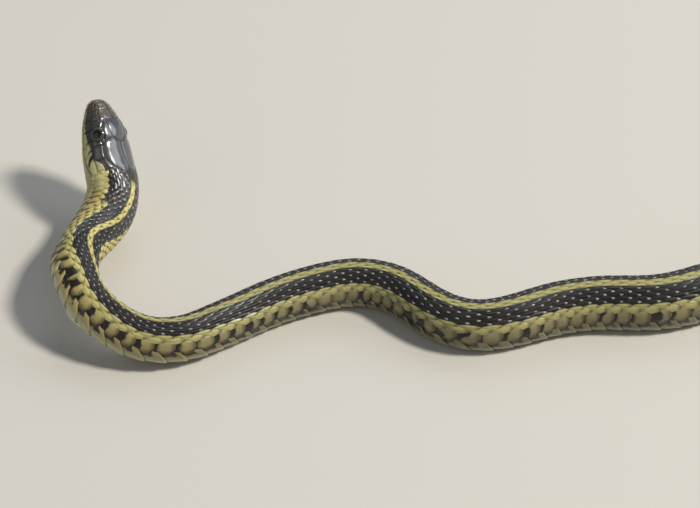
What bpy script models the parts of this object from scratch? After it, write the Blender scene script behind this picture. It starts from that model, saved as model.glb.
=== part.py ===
"""A garter snake, life size, as a still model in metres with Z up.

The body is a tube swept along one route from the snout to the tip of the tail.
Every place on it is given by its distance from the snout and its angle round from the back.
"""
import bpy
import bmesh
import numpy as np
from mathutils import Vector

MM = 0.001

# Sizes along the animal, in millimetres from the snout.
HEAD_LENGTH = 23.5
FIRST_BELLY_PLATE = 27.0
VENT = 620.0
TAIL_TIP = 800.0
NODE_GAP = 0.3
SHIFT = (-221.0, 11.8)
FLOOR_FROM = -20.0
SETTLE_OVER = 12.0

# The route of the body's axis from the snout to the tail, in millimetres.
# Each point is x, y, how far the belly is lifted off the floor, and how far the back leans right.
ROUTE = [
    (-59.9, 26.0, 20.0, 47), (-58.8, 22.0, 15.6, 47), (-57.9, 18.8, 12.1, 47), (-57.2, 16.2, 9.1, 48),
    (-56.4, 13.7, 6.5, 51), (-55.9, 11.0, 4.5, 55), (-56.0, 8.1, 3.2, 57), (-56.7, 5.0, 2.6, 56),
    (-57.9, 1.7, 2.6, 54), (-59.5, -1.8, 2.9, 44), (-61.1, -5.4, 3.5, 32), (-62.3, -9.3, 4.2, 29),
    (-62.9, -13.4, 4.9, 41), (-62.8, -17.3, 5.6, 57), (-62.1, -20.8, 5.9, 66), (-60.9, -24.1, 5.8, 64),
    (-59.3, -26.9, 5.4, 56), (-57.2, -29.3, 4.7, 47), (-54.8, -31.3, 3.9, 39), (-52.2, -32.8, 3.0, 32),
    (-49.4, -33.9, 2.15, 26), (-46.1, -34.6, 1.4, 20), (-42.6, -34.7, 0.95, 16), (-39.2, -34.1, 0.7, 12),
    (-35.5, -32.7, 0.5, 9), (-31.2, -30.1, 0.35, 6), (-26.2, -26.8, 0.25, 4), (-20.5, -23.0, 0.1, 2),
    (-13.7, -19.3, 0, 0), (-6.8, -16.5, 0, 0), (0, -14.9, 0, 0), (6.1, -15.5, 0, 0), (11.5, -18.1, 0, 0),
    (17.1, -23.2, 0, 0), (22.7, -27.4, 0, 0), (28.4, -29.2, 0, 0), (34.1, -28.7, 0, 0),
    (39.8, -26.8, 0, 0), (45.6, -24.5, 0, 0), (51.4, -23.0, 0, 0), (57.1, -22.3, 0, 0),
    (61.7, -22.3, 0, 0), (66.2, -22.4, 0, 0), (70.8, -22.1, 0, 0), (75.5, -21.0, 0, 0),
    (80.2, -19.3, 0, 0), (99, -11, 0, 0), (119, 2, 0, 0), (138, 18, 0, 0), (157, 30, 0, 0),
    (178, 33, 0, 0), (196, 24, 0, 0), (207, 5, 0, 0), (214, -17, 0, 0), (224, -39, 0, 0),
    (241, -54, 0, 0), (262, -56, 0, 0), (280, -44, 0, 0), (290, -24, 0, 0), (298, -2, 0, 0),
    (309, 18, 0, 0), (326, 30, 0, 0), (345, 28, 0, 0), (359, 14, 0, 0), (367, -5, 0, 0),
    (377, -22, 0, 0), (392, -32, 0, 0), (409, -31, 0, 0), (423, -21, 0, 0), (437, -11, 0, 0),
    (452, -6, 0, 0), (468, -7, 0, 0), (484, -11, 0, 0), (499, -15, 0, 0), (512, -16, 0, 0),
]

# How thick the body is: distance from the snout and the section's radius.
GIRTH = [
    (0, 6.1), (12, 6.1), (23.5, 6.15), (30, 6.1), (40, 5.75), (50, 5.45), (65, 5.2), (85, 5.1),
    (110, 5.3), (150, 5.6), (190, 6.05), (225, 6.5), (300, 7.15), (380, 7.45), (470, 7.2), (550, 6.3),
    (600, 5.2), (620, 4.7), (650, 4.0), (700, 2.95), (750, 1.75), (785, 0.85), (800, 0.4),
]
WIDTH_SHARE = 0.97
BELLY_SHARE = 0.92
BELLY_ROUND = 0.6
BELLY_FULL = 0.9
BLEND_FROM = 19.0
BLEND_TO = 25.0

# The head: distance from the snout, half width, height of the crown, depth of the chin, roundness.
HEAD = [
    (0.0, 1.0, 0.8, 0.9, 0.8), (0.3, 1.8, 1.4, 1.5, 0.8), (0.9, 2.6, 2.0, 2.05, 0.78),
    (2.0, 3.3, 2.7, 2.6, 0.76), (4.0, 4.2, 3.5, 3.2, 0.74), (6.0, 4.95, 4.3, 3.75, 0.74),
    (8.5, 5.55, 4.8, 4.2, 0.76), (11.5, 6.1, 5.0, 4.6, 0.78), (15.0, 6.6, 5.35, 5.0, 0.82),
    (18.5, 6.9, 5.75, 5.35, 0.88), (21.5, 6.6, 6.0, 5.5, 0.95), (23.5, 6.25, 6.05, 5.6, 1.0),
]

# The belly plates: how far apart they are, and how they stand proud of the belly.
PLATE_PITCH = [(27, 2.7), (55, 3.3), (85, 3.95), (540, 3.95), (620, 3.5)]
TAIL_PITCH = [(620, 5.6), (720, 4.8), (800, 4.0)]
PLATE_RISE = 0.3
PLATE_RISE_SHARE = 0.08
PLATE_FLAT_FROM = 0.5
PLATE_FLAT_TO = 0.94
BACK_EDGES = 8
BELLY_EDGES = 6
PLATES_IN_NECK = 11
PLATES_IN_TORSO = 12
PLATES_IN_TAIL = 9

# The head's own pieces, in millimetres from the snout and degrees round from the crown.
HEAD_EDGES = 32
HEAD_RINGS = 28
EYE_PLACE = 8.4
EYE_ANGLE = 67
EYE_RADIUS = 2.1
EYE_FLAT = 0.8
EYE_SUNK = 1.1
SOCKET_GAP = 0.2
NOSTRIL_PLACE = 1.4
NOSTRIL_ANGLE = 72
NOSTRIL_RADIUS = 0.42
MOUTH = [(-1.0, -0.75), (0.6, -0.85), (3.0, -1.35), (8.0, -1.9), (12.5, -2.15), (15.5, -1.9), (17.6, -1.2)]
MOUTH_CORNER = 17.8
JAW_BACK_FOOT = -9.0
MOUTH_HALF_WIDTH = 9.0
SHIELD_RISE = 0.22
SHIELD_DEPTH = 0.7
SHIELD_GAP = 0.16
# A side of a shield longer than these, in millimetres and degrees, bends once at its middle.
LONG_SIDE = 1.2
WIDE_SIDE = 14
# Each shield is a ring of corners on the left side, as distance from the snout and angle from the crown.
MIDDLE_SHIELDS = {
    "frontal": [(5.3, 0), (5.1, 22), (8.0, 25), (9.6, 22), (10.7, 0)],
}
SIDE_SHIELDS = {
    "internasal": [(0.9, 3), (1.2, 44), (2.6, 42), (2.8, 3)],
    "prefrontal": [(3.05, 3), (2.9, 50), (4.9, 50), (4.85, 26), (5.05, 3)],
    "supraocular": [(5.1, 29), (5.2, 44), (7.6, 47), (9.9, 44), (9.8, 27), (8.1, 30)],
    "parietal": [(10.95, 3), (9.9, 24), (10.2, 48), (13.6, 52), (16.6, 36), (18.6, 14), (17.6, 3)],
    "temporal": [(10.6, 57), (10.8, 76), (14.2, 78), (14.2, 58)],
    "loreal": [(3.1, 56), (3.2, 76), (5.0, 78), (4.9, 56)],
}
LIP_JOINTS = [1.3, 3.0, 4.8, 6.7, 8.8, 11.2, 13.9, 16.9]
LIP_TOP = [84, 84, 85, 88, 88, 84, 82, 84]
LIP_FOOT = [97, 99, 102, 104, 105, 106, 105, 102]
CHIN_JOINTS = [1.6, 3.3, 5.2, 7.3, 9.6, 12.0, 14.4, 16.6]
CHIN_TOP = 121
CHIN_FOOT = 140

# Plain colours, one for each kind of part.
CROWN_COLOUR = (0.05, 0.05, 0.045)
JAW_COLOUR = (0.52, 0.47, 0.2)
EYE_COLOUR = (0.02, 0.015, 0.01)
BODY_COLOUR = (0.09, 0.08, 0.05)


def natural_spline(knots, values, at):
    """Smooth curve through the values at the knots, one column for each quantity."""
    knots = np.asarray(knots, float)
    values = np.asarray(values, float)
    step = np.diff(knots)
    slope = np.diff(values, axis=0) / step[:, None]
    count = len(knots)
    system = np.eye(count)
    right = np.zeros_like(values)
    for i in range(1, count - 1):
        system[i, i - 1:i + 2] = step[i - 1], 2 * (step[i - 1] + step[i]), step[i]
        right[i] = 6 * (slope[i] - slope[i - 1])
    bend = np.linalg.solve(system, right)
    place = np.clip(np.searchsorted(knots, at) - 1, 0, count - 2)
    width = step[place][:, None]
    left = (knots[place + 1] - at)[:, None] / width
    far = (at - knots[place])[:, None] / width
    curve = left * values[place] + far * values[place + 1]
    return curve + ((left**3 - left) * bend[place] + (far**3 - far) * bend[place + 1]) * width**2 / 6


def unit(rows):
    return rows / np.linalg.norm(rows, axis=-1, keepdims=True)


GIRTH_AT = np.linspace(0, GIRTH[-1][0], 4000)
GIRTH_FINE = natural_spline([row[0] for row in GIRTH], [row[1:] for row in GIRTH], GIRTH_AT)[:, 0]
HEAD_AT = np.linspace(0, HEAD_LENGTH, 800)
HEAD_FINE = natural_spline([row[0] for row in HEAD], [row[1:] for row in HEAD], HEAD_AT)


def radius(s):
    """Radius of the body at a distance from the snout."""
    return np.interp(s, GIRTH_AT, GIRTH_FINE)


def lay_route():
    """Samples of the axis: distance from the snout, place, and the directions headward, right and back."""
    points = np.array(ROUTE, float)
    stride = np.linalg.norm(np.diff(points[:, :3], axis=0), axis=1)
    knots = np.concatenate([[0], np.cumsum(np.sqrt(stride))])
    rows = natural_spline(knots, points, np.linspace(0, knots[-1], 6000))
    settle = np.clip((FLOOR_FROM - rows[:, 0]) / SETTLE_OVER, 0, 1)
    rows[:, 2:] *= (settle**2 * (3 - 2 * settle))[:, None]
    place = rows[:, :3].copy()
    for _ in range(3):
        length = np.concatenate([[0], np.cumsum(np.linalg.norm(np.diff(place, axis=0), axis=1))])
        place[:, 2] = rows[:, 2] + BELLY_SHARE * radius(length)
    place[:, :2] += SHIFT
    headward = unit(-np.gradient(place, axis=0))
    upright = unit(np.array([0, 0, 1.0]) - headward[:, 2:] * headward)
    right = np.cross(headward, upright)
    lean = np.radians(rows[:, 3:])
    back = upright * np.cos(lean) + right * np.sin(lean)
    return length, place, headward, np.cross(headward, back), back


LENGTH, PLACE, HEADWARD, RIGHT, BACK = lay_route()


def on_route(s, side, height):
    """Places at a distance from the snout, to the right of the axis and up from it."""
    out = np.zeros((len(s), 3))
    for column in range(3):
        place = np.interp(s, LENGTH, PLACE[:, column])
        right = np.interp(s, LENGTH, RIGHT[:, column])
        back = np.interp(s, LENGTH, BACK[:, column])
        out[:, column] = place + right * side + back * height
    return out


def section(s, angle):
    """Sideways and upward parts of the outline at angles in degrees from the back.

    The head's outline is squarer than the body's, and the one passes into the other over the nape.
    """
    turn = np.radians(angle)
    size = radius(s)
    depth = BELLY_SHARE * size
    under = -np.minimum(depth / BELLY_FULL * np.abs(np.cos(turn))**BELLY_ROUND, depth)
    side = WIDTH_SHARE * size * np.sin(turn)
    rise = np.where(np.cos(turn) >= -1e-9, size * np.cos(turn), under)
    wide, crown, chin, square = (np.interp(s, HEAD_AT, HEAD_FINE[:, i]) for i in range(4))
    head_side = wide * np.sign(np.sin(turn)) * np.abs(np.sin(turn))**square
    head_rise = np.where(np.cos(turn) >= 0, crown, -chin) * np.abs(np.cos(turn))**square
    share = np.clip((s - BLEND_FROM) / (BLEND_TO - BLEND_FROM), 0, 1)
    share = share**2 * (3 - 2 * share)
    return head_side + (side - head_side) * share, head_rise + (rise - head_rise) * share


def over_surface(s, angle, lift):
    """Places at a height over the outline, or under it when the height is negative."""
    s = np.atleast_1d(np.asarray(s, float))
    angle = np.atleast_1d(np.asarray(angle, float))
    before = np.maximum(s - 0.05, 0)
    lengthwise = on_route(s + 0.05, *section(s + 0.05, angle)) - on_route(before, *section(before, angle))
    crosswise = on_route(s, *section(s, angle + 1)) - on_route(s, *section(s, angle - 1))
    return on_route(s, *section(s, angle)) + unit(np.cross(lengthwise, crosswise)) * lift


def part_from(name, points, faces, material):
    """One object from points in millimetres and faces, facing outwards."""
    mesh = bpy.data.meshes.new(name)
    mesh.from_pydata([Vector(point) * MM for point in points], [], faces)
    body = bmesh.new()
    body.from_mesh(mesh)
    bmesh.ops.recalc_face_normals(body, faces=body.faces)
    if body.calc_volume(signed=True) < 0:
        bmesh.ops.reverse_faces(body, faces=body.faces)
    body.to_mesh(mesh)
    body.free()
    mesh.materials.append(material)
    thing = bpy.data.objects.new(name, mesh)
    PARTS.objects.link(thing)
    return thing


def plate_starts(first, last, table):
    """Distances at which the belly plates begin, from the first to the last."""
    table = np.array(table)
    starts = [first]
    while starts[-1] < last - 0.5 * np.interp(last, table[:, 0], table[:, 1]):
        starts.append(starts[-1] + np.interp(starts[-1], table[:, 0], table[:, 1]))
    return np.array(starts)


def body_length(name, starts, material):
    """A length of the body, whose belly carries one raised plate between each two starts."""
    back = np.linspace(-90, 90, BACK_EDGES + 1)
    belly = np.linspace(90, 270, BELLY_EDGES + 1)[1:-1]
    points = []
    faces = []

    def put(s, angles, sunk):
        side, rise = section(np.full(len(angles), s), angles)
        shrink = 1 - sunk / np.maximum(np.hypot(side, rise), 0.3)
        first = len(points)
        points.extend(on_route(np.full(len(angles), s), side * shrink, rise * shrink))
        return list(range(first, len(points)))

    def ring(s, sunk):
        return put(s, back, 0), put(s, belly, sunk)

    rise = min(PLATE_RISE, PLATE_RISE_SHARE * float(radius(starts[0])))
    cuts = np.array(starts, float)
    cuts[0] += NODE_GAP / 2
    cuts[-1] -= NODE_GAP / 2
    over, under = ring(cuts[0], rise)
    faces.append(over + under)
    for start, end in zip(cuts[:-1], cuts[1:]):
        near = [over[-1]] + under + [over[0]]
        strip = []
        for share in (PLATE_FLAT_FROM, PLATE_FLAT_TO):
            s = start + share * (end - start)
            strip.append(put(s, np.concatenate([[90], belly, [270]]), 0))
        next_over, next_under = ring(end, rise)
        far = [next_over[-1]] + next_under + [next_over[0]]
        for one, other in zip([near] + strip, strip + [far]):
            for i in range(BELLY_EDGES):
                faces.append([one[i], one[i + 1], other[i + 1], other[i]])
        for i in range(1, BACK_EDGES - 1):
            faces.append([over[i], over[i + 1], next_over[i + 1], next_over[i]])
        left = [over[1], over[0], strip[0][-1], strip[1][-1], next_over[0], next_over[1]]
        right = [over[-2], over[-1], strip[0][0], strip[1][0], next_over[-1], next_over[-2]]
        faces.extend([left, right])
        over, under = next_over, next_under
    faces.append(over + under)
    return part_from(name, points, faces, material)


def plate_on_head(name, corners, material):
    """A thin raised plate over a ring of corners on the head."""
    ring = []
    for here, there in zip(corners, corners[1:] + corners[:1]):
        ring.append(here)
        if abs(there[0] - here[0]) > LONG_SIDE or abs(there[1] - here[1]) > WIDE_SIDE:
            ring.append(((here[0] + there[0]) / 2, (here[1] + there[1]) / 2))
    ring = np.array(ring)
    middle = ring.mean(axis=0)
    points = [over_surface(ring[:, 0], ring[:, 1], lift) for lift in (-SHIELD_DEPTH, SHIELD_RISE)]
    points.append(over_surface([middle[0]], [middle[1]], -SHIELD_DEPTH))
    points.append(over_surface([middle[0]], [middle[1]], SHIELD_RISE * 1.1))
    points = np.concatenate(points)
    count = len(ring)
    faces = []
    for i in range(count):
        j = (i + 1) % count
        faces.append([i, j, count + j, count + i])
        faces.append([i, j, 2 * count])
        faces.append([count + i, count + j, 2 * count + 1])
    return part_from(name, points, faces, material)


def ball(name, middle, size, outward, flat, material):
    """A ball, flattened along one direction."""
    mesh = bpy.data.meshes.new(name)
    body = bmesh.new()
    bmesh.ops.create_uvsphere(body, u_segments=16, v_segments=10, radius=size * MM)
    turn = Vector(outward).to_track_quat("Z", "Y").to_matrix()
    for vertex in body.verts:
        vertex.co.z *= flat
        vertex.co = turn @ vertex.co + Vector(middle) * MM
    body.to_mesh(mesh)
    body.free()
    mesh.materials.append(material)
    thing = bpy.data.objects.new(name, mesh)
    PARTS.objects.link(thing)
    return thing


def apply_boolean(target, tools, operation):
    """Joins the tools to the target, or cuts them from it, and removes them."""
    group = bpy.data.collections.new("tools_of_" + target.name)
    CUTTERS.children.link(group)
    for tool in tools:
        for owner in list(tool.users_collection):
            owner.objects.unlink(tool)
        group.objects.link(tool)
        tool.hide_render = True
        tool.display_type = "WIRE"
    change = target.modifiers.new("change", "BOOLEAN")
    change.operation = operation
    change.operand_type = "COLLECTION"
    change.collection = group
    change.solver = "EXACT"
    shape = bpy.data.meshes.new_from_object(target.evaluated_get(bpy.context.evaluated_depsgraph_get()))
    target.modifiers.clear()
    target.data = shape
    for tool in list(group.objects):
        bpy.data.objects.remove(tool)
    bpy.data.collections.remove(group)


def keep_surface(target, keep):
    """Keeps the one closed surface that the rule picks out of all, by its number of faces."""
    body = bmesh.new()
    body.from_mesh(target.data)
    left = set(body.faces)
    islands = []
    while left:
        grow = [left.pop()]
        island = set(grow)
        while grow:
            face = grow.pop()
            for edge in face.edges:
                for other in edge.link_faces:
                    if other in left:
                        left.discard(other)
                        island.add(other)
                        grow.append(other)
        islands.append(island)
    wanted = keep(islands)
    drop = [face for face in body.faces if face not in wanted]
    bmesh.ops.delete(body, geom=drop, context="FACES")
    body.to_mesh(target.data)
    body.free()


def whole_head(name, material):
    """The head in one piece, before the mouth is cut."""
    far = HEAD_LENGTH - NODE_GAP / 2
    share = np.linspace(0, 1, HEAD_RINGS)
    stations = far * share**1.5
    angles = np.arange(HEAD_EDGES) * 360 / HEAD_EDGES - 180
    points = []
    faces = []
    for s in stations:
        side, rise = section(np.full(HEAD_EDGES, s), angles)
        points.extend(on_route(np.full(HEAD_EDGES, s), side, rise))
    for ring in range(HEAD_RINGS - 1):
        for i in range(HEAD_EDGES):
            j = (i + 1) % HEAD_EDGES
            first = ring * HEAD_EDGES
            faces.append([first + i, first + j, first + HEAD_EDGES + j, first + HEAD_EDGES + i])
    faces.append(list(range(HEAD_EDGES)))
    faces.append(list(range((HEAD_RINGS - 1) * HEAD_EDGES, HEAD_RINGS * HEAD_EDGES)))
    return part_from(name, points, faces, material)


def mouth_cutter(name, thick, material):
    """A thin sheet along the line of the mouth, turned down behind its corner."""
    line = np.array(MOUTH + [(MOUTH_CORNER, -2.0), (MOUTH_CORNER + 0.1, JAW_BACK_FOOT)])
    along = unit(np.gradient(line, axis=0))
    across = np.stack([-along[:, 1], along[:, 0]], axis=1) * thick / 2
    upper = line + across
    lower = line - across
    points = []
    for side in (-MOUTH_HALF_WIDTH, MOUTH_HALF_WIDTH):
        for row in (upper, lower):
            points.extend(on_route_ahead(row[:, 0], side, row[:, 1]))
    count = len(line)
    faces = []
    for i in range(count - 1):
        faces.append([i, i + 1, count + i + 1, count + i])
        faces.append([2 * count + i, 2 * count + i + 1, 3 * count + i + 1, 3 * count + i])
        faces.append([i, i + 1, 2 * count + i + 1, 2 * count + i])
        faces.append([count + i, count + i + 1, 3 * count + i + 1, 3 * count + i])
    faces.append([0, count, 3 * count, 2 * count])
    faces.append([count - 1, 2 * count - 1, 4 * count - 1, 3 * count - 1])
    return part_from(name, points, faces, material)


def on_route_ahead(s, side, height):
    """Like on_route, and carried straight on in front of the snout."""
    short = np.minimum(s, 0)[:, None] * -HEADWARD[0]
    return on_route(np.maximum(s, 0), side, height) + short


def plain_material(name, colour, rough):
    material = bpy.data.materials.new(name)
    material.use_nodes = True
    shader = material.node_tree.nodes["Principled BSDF"]
    shader.inputs["Base Color"].default_value = (*colour, 1)
    shader.inputs["Roughness"].default_value = rough
    material.diffuse_color = (*colour, 1)
    return material


for thing in list(bpy.data.objects):
    bpy.data.objects.remove(thing)
PARTS = bpy.data.collections.new("garter_snake")
CUTTERS = bpy.data.collections.new("cutters")
bpy.context.scene.collection.children.link(PARTS)
bpy.context.scene.collection.children.link(CUTTERS)

# The head and the lower jaw: one shape, parted by the line of the mouth.
crown = plain_material("head_skin", CROWN_COLOUR, 0.25)
head = whole_head("head", crown)
shields = []
for label, corners in MIDDLE_SHIELDS.items():
    mirrored = [(s, -angle) for s, angle in reversed(corners) if angle]
    shields.append(plate_on_head(label, corners + mirrored, crown))
for side in (-1, 1):
    for label, corners in SIDE_SHIELDS.items():
        shields.append(plate_on_head(label, [(s, side * angle) for s, angle in corners], crown))
    for i in range(len(LIP_JOINTS) - 1):
        start = LIP_JOINTS[i] + SHIELD_GAP / 2
        end = LIP_JOINTS[i + 1] - SHIELD_GAP / 2
        corners = [(start, LIP_TOP[i]), (start, LIP_FOOT[i]), (end, LIP_FOOT[i + 1]), (end, LIP_TOP[i + 1])]
        shields.append(plate_on_head("lip", [(s, side * angle) for s, angle in corners], crown))
        start = CHIN_JOINTS[i] + SHIELD_GAP / 2
        end = CHIN_JOINTS[i + 1] - SHIELD_GAP / 2
        corners = [(start, CHIN_TOP), (start, CHIN_FOOT), (end, CHIN_FOOT), (end, CHIN_TOP)]
        shields.append(plate_on_head("chin", [(s, side * angle) for s, angle in corners], crown))
apply_boolean(head, shields, "UNION")
keep_surface(head, lambda islands: max(islands, key=len))

# The eyes sit in round sockets, and the nostrils are small pits.
cuts = [mouth_cutter("mouth", NODE_GAP, crown)]
for side, label in ((-1, "eye_left"), (1, "eye_right")):
    rim = over_surface([EYE_PLACE], [side * EYE_ANGLE], 0)[0]
    middle = over_surface([EYE_PLACE], [side * EYE_ANGLE], -EYE_SUNK)[0]
    outward = rim - middle
    ball(label, middle, EYE_RADIUS, outward, EYE_FLAT, plain_material(label + "_cornea", EYE_COLOUR, 0.05))
    socket = EYE_RADIUS + SOCKET_GAP
    flat = (EYE_RADIUS * EYE_FLAT + SOCKET_GAP) / socket
    cuts.append(ball("socket", middle, socket, outward, flat, crown))
    nostril = over_surface([NOSTRIL_PLACE], [side * NOSTRIL_ANGLE], 0)[0]
    cuts.append(ball("nostril", nostril, NOSTRIL_RADIUS, outward, 1.0, crown))
apply_boolean(head, cuts, "DIFFERENCE")
jaw = bpy.data.objects.new("lower_jaw", head.data.copy())
PARTS.objects.link(jaw)
keep_surface(head, lambda islands: max(islands, key=len))
keep_surface(jaw, lambda islands: sorted(islands, key=len)[-2])
jaw.data.materials.clear()
jaw.data.materials.append(plain_material("lower_jaw_skin", JAW_COLOUR, 0.35))

# The neck, the trunk and the tail, each length ending at a joint between two belly plates.
trunk = plate_starts(FIRST_BELLY_PLATE, VENT, PLATE_PITCH)
tail = plate_starts(trunk[-1], TAIL_TIP, TAIL_PITCH)
lengths = []
first = 0
while first < len(trunk) - 1:
    in_neck = first < 2 * PLATES_IN_NECK
    last = first + (PLATES_IN_NECK if in_neck else PLATES_IN_TORSO)
    if len(trunk) - 1 - last < PLATES_IN_TORSO / 2:
        last = len(trunk) - 1
    lengths.append(("neck" if in_neck else "torso", trunk[first:last + 1]))
    first = last
for first in range(0, len(tail) - 1, PLATES_IN_TAIL):
    lengths.append(("tail", tail[first:first + PLATES_IN_TAIL + 1]))
lengths[0] = ("neck", np.concatenate([[HEAD_LENGTH], lengths[0][1]]))
seen = {}
for kind, starts in lengths:
    seen[kind] = seen.get(kind, 0) + 1
    label = "%s_%02d" % (kind, seen[kind])
    body_length(label, starts, plain_material(label + "_skin", BODY_COLOUR, 0.4))
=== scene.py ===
# %% [markdown]
# # A garter snake
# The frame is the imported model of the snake, in metres with Z up: a head, a lower jaw, two eyes and
# lengths of neck, trunk and tail. This script dresses them in one skin, rows of keeled scales, belly
# plates, a plated head and two eyes, on the same route and sections, so that they lie just inside.

# %% Load the frame
import bpy
import numpy as np
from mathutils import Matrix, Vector


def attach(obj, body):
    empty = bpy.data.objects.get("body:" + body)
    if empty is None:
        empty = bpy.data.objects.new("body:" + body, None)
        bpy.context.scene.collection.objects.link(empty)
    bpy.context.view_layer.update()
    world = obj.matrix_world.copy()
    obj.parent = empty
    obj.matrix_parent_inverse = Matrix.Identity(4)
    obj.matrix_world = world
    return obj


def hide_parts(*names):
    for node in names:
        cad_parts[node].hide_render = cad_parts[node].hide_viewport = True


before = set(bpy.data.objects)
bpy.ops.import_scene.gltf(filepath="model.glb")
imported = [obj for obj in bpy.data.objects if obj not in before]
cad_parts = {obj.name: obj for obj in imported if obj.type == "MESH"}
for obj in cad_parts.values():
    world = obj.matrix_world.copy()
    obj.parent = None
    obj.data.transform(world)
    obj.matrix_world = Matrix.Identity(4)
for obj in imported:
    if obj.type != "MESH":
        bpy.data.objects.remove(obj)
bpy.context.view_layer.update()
NODES = sorted(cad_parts)
MM = 0.001

# %% [markdown]
# ## The route
# A snake is a tube along one line. Each route point is x, y, the lift of the belly off the floor and
# the lean of the back to the right, in millimetres and degrees, the same as in the solids.
# A curve object with a bevel could make such a tube, but it can't change its section from a squarish
# head to a round body, and it gives no place to stand a scale on. So the route is kept as numbers.

# %% Route and girth
HEAD_LENGTH = 23.5
VENT = 620.0
TAIL_TIP = 801.2
SHIFT = (-221.0, 11.8)
FLOOR_FROM = -20.0
SETTLE_OVER = 12.0
ROUTE = [
    (-59.9, 26.0, 20.0, 47), (-58.8, 22.0, 15.6, 47), (-57.9, 18.8, 12.1, 47), (-57.2, 16.2, 9.1, 48),
    (-56.4, 13.7, 6.5, 51), (-55.9, 11.0, 4.5, 55), (-56.0, 8.1, 3.2, 57), (-56.7, 5.0, 2.6, 56),
    (-57.9, 1.7, 2.6, 54), (-59.5, -1.8, 2.9, 44), (-61.1, -5.4, 3.5, 32), (-62.3, -9.3, 4.2, 29),
    (-62.9, -13.4, 4.9, 41), (-62.8, -17.3, 5.6, 57), (-62.1, -20.8, 5.9, 66), (-60.9, -24.1, 5.8, 64),
    (-59.3, -26.9, 5.4, 56), (-57.2, -29.3, 4.7, 47), (-54.8, -31.3, 3.9, 39), (-52.2, -32.8, 3.0, 32),
    (-49.4, -33.9, 2.15, 26), (-46.1, -34.6, 1.4, 20), (-42.6, -34.7, 0.95, 16), (-39.2, -34.1, 0.7, 12),
    (-35.5, -32.7, 0.5, 9), (-31.2, -30.1, 0.35, 6), (-26.2, -26.8, 0.25, 4), (-20.5, -23.0, 0.1, 2),
    (-13.7, -19.3, 0, 0), (-6.8, -16.5, 0, 0), (0, -14.9, 0, 0), (6.1, -15.5, 0, 0), (11.5, -18.1, 0, 0),
    (17.1, -23.2, 0, 0), (22.7, -27.4, 0, 0), (28.4, -29.2, 0, 0), (34.1, -28.7, 0, 0),
    (39.8, -26.8, 0, 0), (45.6, -24.5, 0, 0), (51.4, -23.0, 0, 0), (57.1, -22.3, 0, 0),
    (61.7, -22.3, 0, 0), (66.2, -22.4, 0, 0), (70.8, -22.1, 0, 0), (75.5, -21.0, 0, 0),
    (80.2, -19.3, 0, 0), (99, -11, 0, 0), (119, 2, 0, 0), (138, 18, 0, 0), (157, 30, 0, 0),
    (178, 33, 0, 0), (196, 24, 0, 0), (207, 5, 0, 0), (214, -17, 0, 0), (224, -39, 0, 0),
    (241, -54, 0, 0), (262, -56, 0, 0), (280, -44, 0, 0), (290, -24, 0, 0), (298, -2, 0, 0),
    (309, 18, 0, 0), (326, 30, 0, 0), (345, 28, 0, 0), (359, 14, 0, 0), (367, -5, 0, 0),
    (377, -22, 0, 0), (392, -32, 0, 0), (409, -31, 0, 0), (423, -21, 0, 0), (437, -11, 0, 0),
    (452, -6, 0, 0), (468, -7, 0, 0), (484, -11, 0, 0), (499, -15, 0, 0), (512, -16, 0, 0),
]
GIRTH = [
    (0, 6.1), (12, 6.1), (23.5, 6.15), (30, 6.1), (40, 5.75), (50, 5.45), (65, 5.2), (85, 5.1),
    (110, 5.3), (150, 5.6), (190, 6.05), (225, 6.5), (300, 7.15), (380, 7.45), (470, 7.2), (550, 6.3),
    (600, 5.2), (620, 4.7), (650, 4.0), (700, 2.95), (750, 1.75), (785, 0.85), (800, 0.4),
]
WIDTH_SHARE = 0.97
BELLY_SHARE = 0.92
BELLY_ROUND = 0.6
BELLY_FULL = 0.9
HEAD = [
    (0.0, 1.0, 0.8, 0.9, 0.8), (0.3, 1.8, 1.4, 1.5, 0.8), (0.9, 2.6, 2.0, 2.05, 0.78),
    (2.0, 3.3, 2.7, 2.6, 0.76), (4.0, 4.2, 3.5, 3.2, 0.74), (6.0, 4.95, 4.3, 3.75, 0.74),
    (8.5, 5.55, 4.8, 4.2, 0.76), (11.5, 6.1, 5.0, 4.6, 0.78), (15.0, 6.6, 5.35, 5.0, 0.82),
    (18.5, 6.9, 5.75, 5.35, 0.88), (21.5, 6.6, 6.0, 5.5, 0.95), (23.5, 6.25, 6.05, 5.6, 1.0),
]
BLEND_FROM = 19.0
BLEND_TO = 25.0
print("route points:", len(ROUTE), "girths:", len(GIRTH), "head sections:", len(HEAD))

# %% [markdown]
# ## A smooth curve through the points
# Real bends have no corners. A natural cubic spline passes through every point and keeps its bend even,
# which Blender's own curves do only by hand-set handles. One function serves the route, the girth of
# the body and the shape of the head.

# %% Spline
def natural_spline(knots, values, at):
    """Smooth curve through the values at the knots, one column for each quantity."""
    knots = np.asarray(knots, float)
    values = np.asarray(values, float)
    step = np.diff(knots)
    slope = np.diff(values, axis=0) / step[:, None]
    count = len(knots)
    system = np.eye(count)
    right = np.zeros_like(values)
    for i in range(1, count - 1):
        system[i, i - 1:i + 2] = step[i - 1], 2 * (step[i - 1] + step[i]), step[i]
        right[i] = 6 * (slope[i] - slope[i - 1])
    bend = np.linalg.solve(system, right)
    place = np.clip(np.searchsorted(knots, at) - 1, 0, count - 2)
    width = step[place][:, None]
    left = (knots[place + 1] - at)[:, None] / width
    far = (at - knots[place])[:, None] / width
    curve = left * values[place] + far * values[place + 1]
    return curve + ((left**3 - left) * bend[place] + (far**3 - far) * bend[place + 1]) * width**2 / 6


def unit(rows):
    return rows / np.linalg.norm(rows, axis=-1, keepdims=True)


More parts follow.
